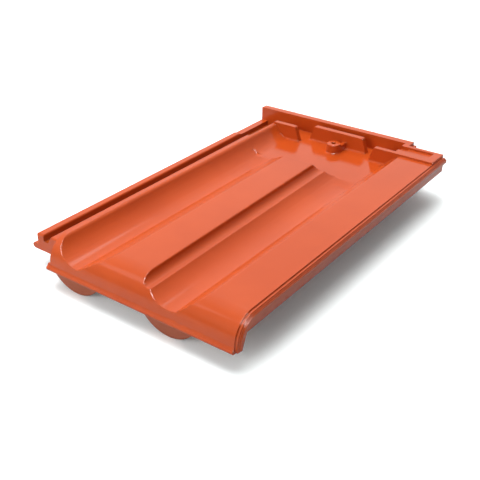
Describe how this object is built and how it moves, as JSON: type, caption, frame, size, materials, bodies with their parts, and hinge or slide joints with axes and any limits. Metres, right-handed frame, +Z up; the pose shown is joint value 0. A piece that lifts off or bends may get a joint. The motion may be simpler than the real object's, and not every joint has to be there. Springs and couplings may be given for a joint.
{
  "type": "clay roof tile",
  "caption": "Interlocking double-trough clay roof tile with side lock, cover flap, rounded eaves lip, head wall and nail hole.",
  "frame": {"origin": "on the floor under the middle of the tile's box, with the tile lying flat on its feet and hanging nibs", "axes": "+Z up off the roof face, +Y from the eaves lip up the roof to the head wall, +X from the side lock to the cover flap"},
  "size_m": [0.3, 0.465, 0.058],
  "materials": {
    "glazed_clay": "gloss"
  },
  "bodies": {
    "root": {"roof_tile": "glazed_clay"}
  },
  "joints": []
}
